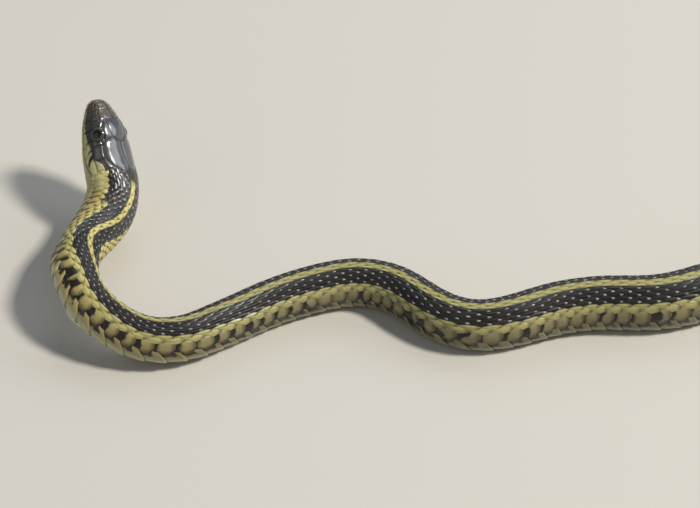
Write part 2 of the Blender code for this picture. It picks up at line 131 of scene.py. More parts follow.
GIRTH = np.array(GIRTH)
GIRTH_AT = np.linspace(0, GIRTH[-1, 0], 4000)
GIRTH_FINE = natural_spline(GIRTH[:, 0], GIRTH[:, 1:], GIRTH_AT)[:, 0]
HEAD = np.array(HEAD)
HEAD_AT = np.linspace(0, HEAD_LENGTH, 800)
HEAD_FINE = natural_spline(HEAD[:, 0], HEAD[:, 1:], HEAD_AT)


def radius(s):
    """Radius of the body at a distance from the snout."""
    return np.interp(s, GIRTH_AT, GIRTH_FINE)


print("thickest: %.1f mm across" % (2 * GIRTH_FINE.max()))

# %% [markdown]
# ## The axis
# The spine of a live snake turns as well as bends, so that the back leans over in the raised neck.
# Each sample of the axis has a direction to the right and one out of the back, leant by the angle that
# the route gives. The belly is set down on the floor wherever the route has no lift.

# %% Axis
def lay_route():
    """Samples of the axis: distance from the snout, place, and the directions right and back."""
    points = np.array(ROUTE, float)
    stride = np.linalg.norm(np.diff(points[:, :3], axis=0), axis=1)
    knots = np.concatenate([[0], np.cumsum(np.sqrt(stride))])
    rows = natural_spline(knots, points, np.linspace(0, knots[-1], 6000))
    settle = np.clip((FLOOR_FROM - rows[:, 0]) / SETTLE_OVER, 0, 1)
    rows[:, 2:] *= (settle**2 * (3 - 2 * settle))[:, None]
    place = rows[:, :3].copy()
    for _ in range(3):
        length = np.concatenate([[0], np.cumsum(np.linalg.norm(np.diff(place, axis=0), axis=1))])
        place[:, 2] = rows[:, 2] + BELLY_SHARE * radius(length)
    place[:, :2] += SHIFT
    headward = unit(-np.gradient(place, axis=0))
    upright = unit(np.array([0, 0, 1.0]) - headward[:, 2:] * headward)
    right = np.cross(headward, upright)
    lean = np.radians(rows[:, 3:])
    back = upright * np.cos(lean) + right * np.sin(lean)
    return length, place, np.cross(headward, back), back


LENGTH, PLACE, RIGHT, BACK = lay_route()
print("route length: %.1f mm" % LENGTH[-1])


def on_route(s, side, height):
    """Places beside the axis, in millimetres."""
    columns = []
    for i in range(3):
        columns.append(np.interp(s, LENGTH, PLACE[:, i]) + np.interp(s, LENGTH, RIGHT[:, i]) * side
                       + np.interp(s, LENGTH, BACK[:, i]) * height)
    return np.stack(columns, axis=-1)

# %% [markdown]
# ## The outline of a section
# A garter snake is round above and flatter under the belly, and its head is squarer than its neck.
# Two formulas give the two outlines, and one passes into the other over the nape. From here on every
# place on the animal is its distance `s` from the snout, in millimetres, its angle `t` round from the
# middle of the back, in degrees, and a lift over the outline.

# %% Outline
def section(s, t):
    """Sideways and upward parts of the outline at angles in degrees from the back."""
    turn = np.radians(t)
    size = radius(s)
    depth = BELLY_SHARE * size
    under = -np.minimum(depth / BELLY_FULL * np.abs(np.cos(turn))**BELLY_ROUND, depth)
    side = WIDTH_SHARE * size * np.sin(turn)
    rise = np.where(np.cos(turn) >= 0, size * np.cos(turn), under)
    wide, crown, chin, square = (np.interp(s, HEAD_AT, HEAD_FINE[:, i]) for i in range(4))
    head_side = wide * np.sign(np.sin(turn)) * np.abs(np.sin(turn))**square
    head_rise = np.where(np.cos(turn) >= 0, crown, -chin) * np.abs(np.cos(turn))**square
    share = np.clip((s - BLEND_FROM) / (BLEND_TO - BLEND_FROM), 0, 1)
    share = share**2 * (3 - 2 * share)
    return head_side + (side - head_side) * share, head_rise + (rise - head_rise) * share


def lay(s, t, lift):
    """Places at a height over the outline, in millimetres."""
    s, t, lift = np.broadcast_arrays(np.asarray(s, float), np.asarray(t, float), np.asarray(lift, float))

    def at(s, t):
        return on_route(s, *section(s, t))

    ahead = np.maximum(s - 0.15, 0.0)
    outward = unit(np.cross(at(s + 0.15, t) - at(ahead, t), at(s, t + 1.5) - at(s, t - 1.5)))
    return at(s, t) + outward * lift[..., None]


print("back of the neck:", lay(60.0, 0.0, 0.0).round(1), "mm")

# %% [markdown]
# ## The camera
# The photograph looks down at the animal from the front. The picture is 700 by 508 pixels, and 4.25 of
# them are a millimetre at the middle of the view, which sets the lens and the distance.

# %% Camera
CAMERA_TILT = 42.5
CAMERA_AWAY = 0.7
PIXELS_PER_MM = 4.25
IMAGE_WIDTH = 700
SENSOR = 36.0

scene = bpy.context.scene
camera_data = bpy.data.cameras.new("camera")
camera_data.sensor_width = SENSOR
camera_data.lens = PIXELS_PER_MM * 1000 * CAMERA_AWAY / IMAGE_WIDTH * SENSOR
camera_data.clip_start = 0.01
camera = bpy.data.objects.new("camera", camera_data)
scene.collection.objects.link(camera)
tilt = np.radians(CAMERA_TILT)
camera.location = (SHIFT[0] * MM, SHIFT[1] * MM - CAMERA_AWAY * np.cos(tilt), CAMERA_AWAY * np.sin(tilt))
camera.rotation_euler = (np.radians(90 - CAMERA_TILT), 0, 0)
scene.camera = camera
print("lens: %.0f mm" % camera_data.lens)

# %% [markdown]
# ## Meshes on the route
# Every piece is bent along the route, so its places come from the outline's formula and not from a
# modelling tool. One helper turns places and faces into a smooth mesh, with point attributes for the
# materials and a map for baking. A second one gives the faces of a tube closed round.

# %% Mesh helper
def piece(name, points, faces, corner_map, **attributes):
    """One smooth mesh object. Points are in millimetres; faces is a list of arrays of equal width."""
    mesh = bpy.data.meshes.new(name)
    loops = np.concatenate([block.ravel() for block in faces])
    sizes = np.concatenate([np.full(len(block), block.shape[1]) for block in faces])
    mesh.vertices.add(len(points))
    mesh.vertices.foreach_set("co", (np.asarray(points) * MM).astype(np.float32).ravel())
    mesh.loops.add(len(loops))
    mesh.loops.foreach_set("vertex_index", loops.astype(np.int32))
    mesh.polygons.add(len(sizes))
    mesh.polygons.foreach_set("loop_start", np.concatenate([[0], np.cumsum(sizes)[:-1]]).astype(np.int32))
    mesh.polygons.foreach_set("use_smooth", np.ones(len(sizes), bool))
    mesh.update(calc_edges=True)
    mesh.validate()
    for label, values in attributes.items():
        layer = mesh.attributes.new(label, "FLOAT", "POINT")
        layer.data.foreach_set("value", np.asarray(values, np.float32).ravel())
    layer = mesh.uv_layers.new(name="OFBake")
    layer.data.foreach_set("uv", np.asarray(corner_map, np.float32).ravel())
    thing = bpy.data.objects.new(name, mesh)
    scene.collection.objects.link(thing)
    print("%s: %d triangles" % (name, int((sizes - 2).sum())))
    return thing


def tube_faces(rings, around):
    """Quads of a tube closed round, facing outwards, and the grid places of their corners."""
    i, j = np.meshgrid(np.arange(rings - 1), np.arange(around), indexing="ij")
    i = i.ravel()
    j = j.ravel()
    rows = np.stack([i, i + 1, i + 1, i], axis=1)
    columns = np.stack([j, j, j + 1, j + 1], axis=1)
    return rows * around + columns % around, rows, columns

# %% [markdown]
# ## The skin
# Between its scales a snake has thin, soft, darker skin that shows where the body bends. It could be
# left out, but then gaps would open in the bends. One closed tube runs from behind the head to the
# pointed tip of the tail, a little inside the solids, so that the scales have room to stand on it.

# %% Skin
SKIN_DEPTH = 0.42
SKIN_FROM = 25.6
SKIN_STEP = 1.4
SKIN_AROUND = 64
SKIN_STRIPS = 6
TIP_POINT = 0.28

stations = np.append(np.arange(SKIN_FROM, TAIL_TIP - 0.5 * SKIN_STEP, SKIN_STEP), TAIL_TIP)
angles = np.arange(SKIN_AROUND + 1) * 360 / SKIN_AROUND - 180
grid_s, grid_t = np.meshgrid(stations, angles[:-1], indexing="ij")
depth = np.minimum(SKIN_DEPTH, 0.12 * radius(grid_s))
depth[-1] += TIP_POINT
points = lay(grid_s, grid_t, -depth).reshape(-1, 3)
quads, rows, columns = tube_faces(len(stations), SKIN_AROUND)
last_ring = (len(stations) - 1) * SKIN_AROUND
ends = [np.arange(SKIN_AROUND)[None], np.arange(SKIN_AROUND)[None, ::-1] + last_ring]
share = (stations[rows] - SKIN_FROM) / (TAIL_TIP - SKIN_FROM) * SKIN_STRIPS
strip = np.floor(share.mean(axis=1, keepdims=True))
around = (strip + 0.02 + 0.96 * (angles[columns] + 180) / 360) / SKIN_STRIPS
corner = np.stack([np.clip(share - strip, 0, 1), around], axis=-1)
end_map = np.full((2 * SKIN_AROUND, 2), 0.001)
skin = piece("skin", points, [quads] + ends, np.concatenate([corner.reshape(-1, 2), end_map]),
             along=grid_s, turn=np.abs(grid_t), middle=np.abs(grid_t), chance=0.5 + 0 * grid_s)
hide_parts(*[name for name in NODES if name.startswith(("neck", "torso", "tail"))])
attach(skin, "root")

# %% [markdown]
# ## The plates of the head
# A snake's head wears large plates that meet in fine joints: nine on the crown, a row along each lip
# and pairs under the chin. Each could be a piece of its own, but the joints would then be gaps. Here
# each plate is only a ring of corners in `s` and the angle from the crown, and shapes one closed head.

# %% Plates of the head
EYE_PLACE = 8.4
EYE_ANGLE = 67.0
EYE_RADIUS = 2.1
EYE_FLAT = 0.8
EYE_SUNK = 1.1
EYE_OPENING = 1.62
NOSTRIL_PLACE = 1.4
NOSTRIL_ANGLE = 70.0
NOSTRIL_RADIUS = 0.3
MOUTH = np.array([(-1.0, -0.75), (0.6, -0.85), (3.0, -1.35), (8.0, -1.9), (12.5, -2.15), (15.5, -1.9),
                  (17.6, -1.2)])
MOUTH_END = 17.6
LIP_TOP = 85.0
SCALES_FROM = np.array([(0, 17.2), (14, 18.6), (38, 16.8), (55, 17.0), (85, 17.3)])
CROWN_PLATES = {
    "rostral": [(-0.5, -60), (0.85, 0), (0.75, 40), (1.0, 70), (1.15, 85), (-0.5, 85)],
    "internasal": [(0.85, 0), (2.7, 0), (2.6, 45), (1.35, 50), (0.75, 40)],
    "nasal_front": [(0.75, 40), (1.35, 50), (1.5, 85), (1.15, 85), (1.0, 70)],
    "nasal_rear": [(1.35, 50), (2.6, 45), (2.75, 85), (1.5, 85)],
    "prefrontal": [(2.7, 0), (5.25, 0), (4.95, 26), (5.2, 40), (5.3, 54), (3.1, 57), (2.6, 45)],
    "loreal": [(2.6, 45), (3.1, 57), (5.0, 56), (5.1, 85), (2.75, 85)],
    "preocular": [(5.0, 56), (5.3, 54), (5.2, 40), (6.1, 46), (8.4, 67), (6.6, 85), (5.1, 85)],
    "supraocular": [(4.95, 26), (7.4, 24), (9.5, 19), (9.9, 26), (10.3, 46), (9.6, 47), (8.4, 67), (6.1, 46),
                    (5.2, 40)],
    "postocular_1": [(9.6, 47), (10.3, 46), (11.0, 55), (10.0, 60), (8.4, 67)],
    "postocular_2": [(10.0, 60), (11.0, 55), (11.1, 70), (10.0, 71), (8.4, 67)],
    "postocular_3": [(10.0, 71), (11.1, 70), (11.1, 85), (9.2, 85), (8.4, 67)],
    "under_eye": [(8.4, 67), (9.2, 85), (6.6, 85)],
    "parietal": [(10.8, 0), (17.9, 0), (18.8, 14), (16.9, 38), (13.9, 55), (11.0, 55), (10.3, 46), (9.9, 26),
                 (9.5, 19)],
    "temporal_1": [(11.0, 55), (13.9, 55), (14.4, 68), (14.1, 85), (11.1, 85)],
    "temporal_2": [(13.9, 55), (16.9, 38), (17.4, 50), (17.1, 64), (14.4, 68)],
    "temporal_3": [(14.4, 68), (17.1, 64), (17.3, 85), (14.1, 85)],
}
FRONTAL = [(5.25, 0), (4.95, 26), (7.4, 24), (9.5, 19), (10.8, 0)]
UPPER_LIP_JOINTS = [1.15, 2.9, 4.9, 7.2, 9.6, 11.6, 13.3, 17.6]
LOWER_LIP_JOINTS = [0.9, 2.3, 3.9, 5.6, 7.4, 9.3, 11.4, 13.6, 15.8, 17.8]
LOWER_LIP_DEEP = 22.0
CHIN_PLATES = {
    "mental": [(-0.5, 118), (0.9, 118), (1.3, 150), (1.0, 180), (-0.5, 180)],
    "chin_front": [(1.0, 180), (1.3, 150), (2.6, 139), (6.0, 145), (6.4, 180)],
    "chin_rear": [(6.4, 180), (6.0, 145), (7.0, 141), (10.6, 150), (11.6, 166), (10.4, 180)],
}
print("lip plates on one side:", len(UPPER_LIP_JOINTS) - 1, "above,", len(LOWER_LIP_JOINTS) - 1, "below")

# %% [markdown]
# ## Where a place lies among the plates
# A plate is highest in its middle and falls off into the joints. That needs two answers at every place
# on the head: which ring it is inside, and how far off the ring's nearest side is. The first counts
# the sides crossed on the way out, and the second measures to each side in turn.

# %% Rings of corners
def mouth_angle(s):
    """Angle from the crown at which the outline meets the line of the mouth."""
    wide, crown, chin, square = (np.interp(s, HEAD_AT, HEAD_FINE[:, i]) for i in range(4))
    level = np.clip(-np.interp(s, MOUTH[:, 0], MOUTH[:, 1]) / chin, 0.05, 0.95)
    return 180 - np.degrees(np.arccos(level**(1 / square)))


def inside(s, t, corners):
    """Whether each place lies inside the ring of corners."""
    result = np.zeros(s.shape, bool)
    for (s0, t0), (s1, t1) in zip(corners, corners[1:] + corners[:1]):
        if t0 == t1:
            continue
        crosses = (t0 > t) != (t1 > t)
        result ^= crosses & (s < (s1 - s0) * (t - t0) / (t1 - t0) + s0)
    return result


def edge_distance(s, t, scale, corners, skip_middle=False):
    """Distance in millimetres to the nearest side of the ring of corners."""
    best = np.full(s.shape, 99.0)
    for (s0, t0), (s1, t1) in zip(corners, corners[1:] + corners[:1]):
        if skip_middle and t0 == 0 and t1 == 0:
            continue
        along = s1 - s0
        across = (t1 - t0) * scale
        share = ((s - s0) * along + (t - t0) * scale * across) / (along**2 + across**2)
        share = np.clip(share, 0, 1)
        best = np.minimum(best, np.hypot(s - s0 - share * along, (t - t0) * scale - share * across))
    return best


print("mouth at the eye: %.0f degrees from the crown" % mouth_angle(EYE_PLACE))

# %% [markdown]
# ## The relief of the head
# Sculpting would give this relief too, but not the same on both sides, and it couldn't be changed by a
# number. A place rises with its distance from the joint, quickly at first and then slowly. The mouth
# is a deeper groove with a full lip over it, the nostril a pit and the eye's opening a hollow. The
# same distances are kept as masks, so that the colours follow the shape.

# %% Relief
JOINT_WIDTH = 0.15
LIP_JOINT_WIDTH = 0.24
THROAT_SCALE_LONG = 1.55
THROAT_SCALE_WIDE = 11.5


def head_relief(s, t):
    """Lift of the head's surface and the masks that its material reads."""
    a = np.abs(t)
    wide = np.interp(s, HEAD_AT, HEAD_FINE[:, 0])
    tall = np.interp(s, HEAD_AT, HEAD_FINE[:, 1])
    scale = np.maximum(0.5 * (wide + tall) * np.pi / 180, 0.02)
    edge = np.full(s.shape, 0.0)
    chance = np.full(s.shape, 0.5)
    lip = np.zeros(s.shape)
    crown = np.zeros(s.shape)
    mouth = mouth_angle(s)
    covered = np.zeros(s.shape, bool)
    number = 0
    for name, corners in list(CROWN_PLATES.items()) + [("frontal", FRONTAL)] + list(CHIN_PLATES.items()):
        number += 1
        here = inside(s, a, corners) & ~covered
        near = edge_distance(s, a, scale, corners, skip_middle=name == "frontal")
        edge = np.where(here, near, edge)
        chance = np.where(here, (number * 0.618) % 1, chance)
        crown = np.where(here & (name not in CHIN_PLATES), 1.0, crown)
        covered |= here
    for joints, is_upper in ((UPPER_LIP_JOINTS, True), (LOWER_LIP_JOINTS, False)):
        top = LIP_TOP if is_upper else mouth
        foot = mouth if is_upper else mouth + LOWER_LIP_DEEP
        for start, end in zip(joints[:-1], joints[1:]):
            number += 1
            slant = (a - top) / 25 * np.interp(s, [0, 9, 12.5, 16], [0.3, 0.6, 2.4, 2.2])
            here = (s - slant >= start) & (s - slant < end) & (a >= top) & (a < foot) & ~covered
            near = np.minimum(np.minimum(s - slant - start, end - s + slant),
                              np.minimum(a - top, foot - a) * scale)
            edge = np.where(here, near, edge)
            chance = np.where(here, (number * 0.618) % 1, chance)
            lip = np.where(here, 1.0 if is_upper else 0.8, lip)
            covered |= here
    row = a / THROAT_SCALE_WIDE
    column = s / THROAT_SCALE_LONG
    brick = np.floor(row)
    shifted = column + 0.5 * (brick % 2)
    lengthwise = (0.5 - np.abs(shifted % 1 - 0.5)) * THROAT_SCALE_LONG
    crosswise = (0.5 - np.abs(row % 1 - 0.5)) * THROAT_SCALE_WIDE * scale
    small = np.minimum(lengthwise, crosswise)
    edge = np.where(covered, edge, small * 0.8)
    chance = np.where(covered, chance, (brick * 0.37 + np.floor(shifted) * 0.71) % 1)
    lift = 0.11 * (1 - np.exp(-edge / 0.14)) + 0.20 * (1 - np.exp(-edge / 0.9)) - 0.24
    joint = np.exp(-(edge / np.where(lip > 0.9, LIP_JOINT_WIDTH, JOINT_WIDTH))**2)
    closed = np.clip((MOUTH_END + 0.3 - s) / 0.6, 0, 1)
    gape = np.abs(a - mouth) * scale
    lift -= 0.34 * np.exp(-(gape / 0.13)**2) * closed
    lift += 0.06 * np.exp(-((a - mouth + 3.5) * scale / 0.3)**2) * closed
    line = np.exp(-(gape / 0.16)**2) * closed
    eye = np.hypot(s - EYE_PLACE, (a - EYE_ANGLE) * scale)
    lift += 0.05 * np.exp(-((eye - EYE_OPENING - 0.3) / 0.2)**2)
    lift -= 1.5 * np.clip((EYE_OPENING + 0.05 - eye) / 0.25, 0, 1)
    pit = np.hypot(s - NOSTRIL_PLACE, (a - NOSTRIL_ANGLE) * scale)
    lift -= 0.5 * np.exp(-(pit / NOSTRIL_RADIUS)**4)
    hole = np.exp(-(pit / (NOSTRIL_RADIUS * 1.15))**4)
    lift = np.where(s < 0.35, lift * s / 0.35, lift)
    covered_from = np.interp(a, SCALES_FROM[:, 0], SCALES_FROM[:, 1]) + 0.8
    under = np.clip(s - covered_from, 0, 1) * np.clip((98 - a) / 8, 0, 1)
    masks = dict(joint=joint, line=line, hole=hole, lip=lip, crown=crown, chance=chance, eyeward=eye)
    return lift - 0.3 * under, masks


trial, _ = head_relief(np.array([14.0]), np.array([20.0]))
print("lift in the middle of a crown plate: %.2f mm" % trial[0])

# %% [markdown]
# ## The head
# The joints are about a third of a millimetre wide, so the head is one dense closed grid, closer spaced
# at the snout. It reaches well under the first scales, which cover its rear edge.

# %% Head
HEAD_RINGS = 210
HEAD_AROUND = 256
HEAD_SKIN_TO = 27.6
CLEAR = 0.03

share = np.linspace(0, 1, HEAD_RINGS)
stations = 0.02 + (HEAD_SKIN_TO - 0.02) * (0.75 * share + 0.25 * share**3)
angles = np.arange(HEAD_AROUND + 1) * 360 / HEAD_AROUND - 180
grid_s, grid_t = np.meshgrid(stations, angles[:-1], indexing="ij")
lift, masks = head_relief(grid_s, grid_t)
points = lay(grid_s, grid_t, lift - CLEAR).reshape(-1, 3)
quads, rows, columns = tube_faces(HEAD_RINGS, HEAD_AROUND)
last_ring = (HEAD_RINGS - 1) * HEAD_AROUND
ends = [np.arange(HEAD_AROUND)[None], np.arange(HEAD_AROUND)[None, ::-1] + last_ring]
corner = np.stack([stations[rows] / HEAD_SKIN_TO, 0.01 + 0.98 * (angles[columns] + 180) / 360], axis=-1)
head_skin = piece("head_skin", points, [quads] + ends,
                  np.concatenate([corner.reshape(-1, 2), np.full((2 * HEAD_AROUND, 2), 0.001)]),
                  along=grid_s, turn=np.abs(grid_t), **masks)
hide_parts("head", "lower_jaw")
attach(head_skin, "root")

# %% [markdown]
# ## The eyes
# A snake has no lids: each eye is a ball under one clear scale, with a round dark pupil and a thin pale
# ring near its rim. A flat disc would look wrong from the side, so each eye is a whole ball, a little
# flattened, sunk in its opening and turned to face out of it.

# %% Eyes
EYE_RINGS = 36
EYE_AROUND = 64
EYE_CLEAR = 0.03


def eye_ball(name, side):
    """One eye; `reach` grows from the middle of the pupil outwards, and faster on the hidden back."""
    rim = lay(EYE_PLACE, side * EYE_ANGLE, 0.0)
    middle = lay(EYE_PLACE, side * EYE_ANGLE, -EYE_SUNK)
    outward = unit(rim - middle)
    first = unit(np.cross(outward, [0.3, 0.2, 0.9]))
    second = np.cross(outward, first)
    polar = np.linspace(0, np.pi, EYE_RINGS)[1:-1]
    round_on = np.arange(EYE_AROUND) * 2 * np.pi / EYE_AROUND
    ring, turn = np.meshgrid(polar, round_on, indexing="ij")
    size = EYE_RADIUS - EYE_CLEAR
    places = (middle + outward * (np.cos(ring) * size * EYE_FLAT)[..., None]
              + first * (np.sin(ring) * np.cos(turn) * size)[..., None]
              + second * (np.sin(ring) * np.sin(turn) * size)[..., None]).reshape(-1, 3)
    deep = outward * size * EYE_FLAT
    places = np.concatenate([places, [middle + deep, middle - deep]])
    quads = tube_faces(len(polar), EYE_AROUND)[0]
    last = (len(polar) - 1) * EYE_AROUND
    j = np.arange(EYE_AROUND)
    pole = np.full(EYE_AROUND, len(places) - 2)
    top = np.stack([pole, j, (j + 1) % EYE_AROUND], axis=1)
    foot = np.stack([pole + 1, last + (j + 1) % EYE_AROUND, last + j], axis=1)
    reach = np.concatenate([(np.sin(ring) * size * np.where(np.cos(ring) > 0, 1, 3)).ravel(), [0, 9]])
    around = np.concatenate([turn.ravel(), [0, 0]])
    ring_of = np.concatenate([np.repeat(polar / np.pi, EYE_AROUND), [0, 1]])
    circle = np.stack([0.5 + 0.49 * ring_of * np.cos(around), 0.5 + 0.49 * ring_of * np.sin(around)], axis=-1)
    faces = [quads, top, foot]
    corners = np.concatenate([block.ravel() for block in faces])
    return piece(name + "_ball", places, faces, circle[corners], reach=reach)


eyes = []
for side, name in ((-1, "eye_left"), (1, "eye_right")):
    eye = eye_ball(name, side)
    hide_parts(name)
    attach(eye, "root")
    eyes.append(eye)

# %% [markdown]
# ## A raised patch
# A scale and a belly plate are the same thing in two shapes: a thin sheet with its rim folded down to
# the skin and its underside closed by one face. Thousands are laid, so both come from one small grid,
# and three helpers give its corners and faces, the faces of all its copies, and their map.

# %% Raised patch
COAT_STRIPS = 3


def raised_patch(along, across):
    """Corners of a closed patch as shares along and across, which are its foot, and its faces."""
    u, v = np.meshgrid(along, across, indexing="ij")
    rows, columns = u.shape
    rim = [(i, 0) for i in range(rows)] + [(rows - 1, j) for j in range(1, columns)]
    rim += [(i, columns - 1) for i in range(rows - 2, -1, -1)] + [(0, j) for j in range(columns - 2, 0, -1)]
    index = np.array([i * columns + j for i, j in rim])
    quads = []
    for i in range(rows - 1):
        for j in range(columns - 1):
            first = i * columns + j
            quads.append([first, first + columns, first + columns + 1, first + 1])
    total = rows * columns
    for k in range(len(index)):
        m = (k + 1) % len(index)
        quads.append([index[k], total + k, total + m, index[m]])
    bottom = (total + np.arange(len(index)))[None, ::-1]
    flat_u = np.concatenate([u.ravel(), u.ravel()[index]])
    flat_v = np.concatenate([v.ravel(), v.ravel()[index]])
    return flat_u, flat_v, np.arange(len(flat_u)) >= total, np.array(quads), bottom


def copied_faces(count, corners, quads, bottom):
    """Faces of many copies of a patch, one after another."""
    offset = np.arange(count)[:, None, None] * corners
    return [(quads[None] + offset).reshape(-1, 4), (bottom[None] + offset).reshape(-1, bottom.shape[1])]


def coat_map(begin, step, u, across, first, last):
    """Map places of many patches in strips; each patch lies whole in one strip."""
    cell = np.clip((begin + u[None] * step * 0.94 - first) / (last - first), 0, 0.99999) * COAT_STRIPS
    strip = np.floor(np.clip((begin + 0.5 * step - first) / (last - first), 0, 0.99999) * COAT_STRIPS)
    both = np.stack([np.clip(cell - strip, 0, 1), (strip + 0.01 + 0.98 * across) / COAT_STRIPS], axis=-1)
    return both.reshape(-1, 2)


print("strips on the map of a coat:", COAT_STRIPS)

# %% [markdown]
# ## One scale
# The scales of the back are narrow leaves with a keel along the middle. Those of the nape and the
# lowest row are broad, blunt and smooth. Both shapes share one patch, so that a scale can be anything
# between them. It has only a few dozen faces, because thousands of copies are laid.

# %% One scale
SCALE_ROWS = [0, 8, 16, 24, 32, 40, 48, 56.5, 67.0, 81.0]
SCALE_LONG = 1.66
SCALE_TUCK = 0.66
SCALE_TOP = 0.30
SCALE_FOOT = -0.12
KEEL = 0.12
CROWN = 0.13
NAPE_CROWN = 0.24
NAPE_TO = 31.0
NAPE_BLEND = 8.0
BLUNT_FROM = 62.0
BLUNT_BLEND = 16.0
ACROSS = np.array([-1, -0.55, -0.16, 0, 0.16, 0.55, 1.0])
ALONG = np.array([0, 0.3, 0.52, 0.7, 0.84, 0.94, 1.0])
WIDTHS = np.array([0.5, 0.86, 1.0, 0.9, 0.64, 0.36, 0.08])
NAPE_WIDTHS = np.array([0.6, 0.92, 1.0, 0.98, 0.88, 0.66, 0.3])
SCALE_U, SCALE_V, SCALE_IS_FOOT, SCALE_QUADS, SCALE_BOTTOM = raised_patch(ALONG, ACROSS)


def leaf(widths, keel, crown):
    """Each corner's share across and height in millimetres, for one shape of scale."""
    u = SCALE_U
    v = SCALE_V
    height = SCALE_TOP * u**1.15 + crown * (1 - v**2) * np.sin(np.pi * np.clip(u * 0.9, 0, 1))
    height += keel * np.exp(-(v / 0.13)**2) * np.clip(u * 2.2, 0, 1) * (1 - 0.4 * u)
    across = v * np.interp(u, ALONG, widths) * np.where(SCALE_IS_FOOT, 0.96, 1.0)
    return across, np.where(SCALE_IS_FOOT, SCALE_FOOT, height)


LEAF = leaf(WIDTHS, KEEL, CROWN)
NAPE_LEAF = leaf(NAPE_WIDTHS, 0.0, NAPE_CROWN)
print("a scale has", len(SCALE_QUADS) + 1, "faces")

# %% [markdown]
# ## The lattice
# Nineteen rows run along the trunk, and each is half a scale out of step with the next, as shingles
# are. The rows drop out by pairs along the tail. An array modifier can't thin out its rows, so a loop
# lists where each scale begins, one step of the lattice after another.

# %% Lattice
PITCH = np.array([(14, 2.3), (20, 2.4), (27, 2.8), (55, 3.3), (85, 3.95), (540, 3.95), (620, 3.4),
                  (700, 2.4), (760, 2.0), (800, 1.8)])
TAIL_STAGES = [(620, 8), (646, 7), (672, 6), (702, 5), (732, 4), (762, 3)]
COAT_SPLITS = [14, 110, 215, 330, 445, 560, 690, 805]


def row_angles(s):
    """Angles of the rows on one side and their half spacing, at a distance from the snout."""
    count = 9
    for start, rows in TAIL_STAGES:
        if s >= start:
            count = rows
    if count == 9:
        angles = np.array(SCALE_ROWS, float)
    else:
        angles = 83.0 * np.arange(count + 1) / (count + 0.35)
    return angles, np.gradient(angles)


# Distances along the body at which a scale of the even rows begins.
marks = [15.0]
while marks[-1] < TAIL_TIP - 3:
    marks.append(marks[-1] + np.interp(marks[-1], PITCH[:, 0], PITCH[:, 1]))
marks = np.array(marks)
roots = []
for k, mark in enumerate(marks[:-1]):
    step = marks[k + 1] - mark
    angles, spacing = row_angles(mark)
    for row, (angle, wide) in enumerate(zip(angles, spacing)):
        begin = mark + (0.5 * step if row % 2 else 0)
        if begin < np.interp(angle, SCALES_FROM[:, 0], SCALES_FROM[:, 1]) or begin > TAIL_TIP - 3:
            continue
        for side in ((1,) if row == 0 else (-1, 1)):
            roots.append((begin, side * angle, step, wide))
roots = np.array(roots)
print("scales:", len(roots))

# %% [markdown]
# ## The coats of scales
# The scales of one stretch of body are one joined mesh, which keeps each piece light enough to export.
# Each scale tucks its root under the one before it. No two are alike in nature, so each gets a small
# turn and height of its own, and a number that its colour reads. Each copy keeps its own patch on the
# map for baking, at its root's place on the unrolled skin.

# %% Coats of scales
RNG = np.random.default_rng(7)


def scale_coat(name, roots, first, last):
    """One joined mesh of scales."""
    u = np.where(SCALE_IS_FOOT, SCALE_U * 0.985, SCALE_U)
    v, height = LEAF
    count = len(roots)
    begin, angle, step, wide = (roots[:, i:i + 1] for i in range(4))
    nape = np.clip((NAPE_TO - begin) / NAPE_BLEND, 0, 1)
    blunt = np.clip((np.abs(angle) - BLUNT_FROM) / BLUNT_BLEND, 0, 1)
    broad = np.maximum(nape, blunt)
    v = v + (NAPE_LEAF[0] - v) * broad
    height = height + (NAPE_LEAF[1] - height) * broad
    size = radius(begin)
    big = np.clip(size / 5.0, 0.16, 1.0) * np.clip(0.75 + (begin - 16) * 0.04, 0.75, 1)
    lowest = np.where(np.abs(angle) > 74, 1.2, 1.08)
    chance = RNG.random((count, 1))
    tilt = (RNG.random((count, 1)) - 0.5) * 0.10
    s = begin + (u[None] * SCALE_LONG - SCALE_TUCK) * step
    t = angle + v * wide * lowest + (u[None] - 0.5) * wide * tilt * 4
    skin_depth = np.minimum(SKIN_DEPTH, 0.12 * radius(s))
    lift = -skin_depth + height * big * (0.94 + 0.12 * chance)
    points = lay(np.clip(s, 0.3, TAIL_TIP), t, np.minimum(lift, -0.015)).reshape(-1, 3)
    blocks = copied_faces(count, len(u), SCALE_QUADS, SCALE_BOTTOM)
    across = (angle + SCALE_V[None] * wide * 0.46 + 92) / 184
    both = coat_map(begin, step, u, across, first, last)
    corners = np.concatenate([block.ravel() for block in blocks])
    spread = np.ones((1, len(u)))
    return piece(name, points, blocks, both[corners], along=s, turn=t, middle=angle * spread,
                 tip=u[None] * np.ones((count, 1)), across=SCALE_V[None] * np.ones((count, 1)),
                 chance=chance * spread)


coats = []
for number, (first, last) in enumerate(zip(COAT_SPLITS[:-1], COAT_SPLITS[1:])):
    chosen = roots[(roots[:, 0] >= first) & (roots[:, 0] < last)]
    coat = scale_coat("scales_%d" % (number + 1), chosen, first - 3, last + 3)
    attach(coat, "root")
    coats.append(coat)

# %% [markdown]
# ## The belly plates
# A snake stands on wide smooth plates that cross the whole belly, one to each step of the lattice.
# They are single as far as the vent and in pairs behind it. They could be bands cut into the skin, but
# a real plate overlaps the next, and its rear edge is bowed and free.

# %% Belly plates
PLATE_FROM = 26.0
PLATE_ANGLE = 90.0
PLATE_TOP = 0.37
PLATE_FOOT = -0.1
PLATE_ACROSS = 28
PLATE_CORNER = 7
PLATE_LONG = 1.32
PLATE_TUCK = 0.30
PLATE_BOW = 0.16
CORNER_SHORT = 0.34
CORNER_LOW = 0.55
PAIR_OVERLAP = 2.0
PLATE_ALONG = np.array([0.0, 0.35, 0.7, 0.9, 1.0])


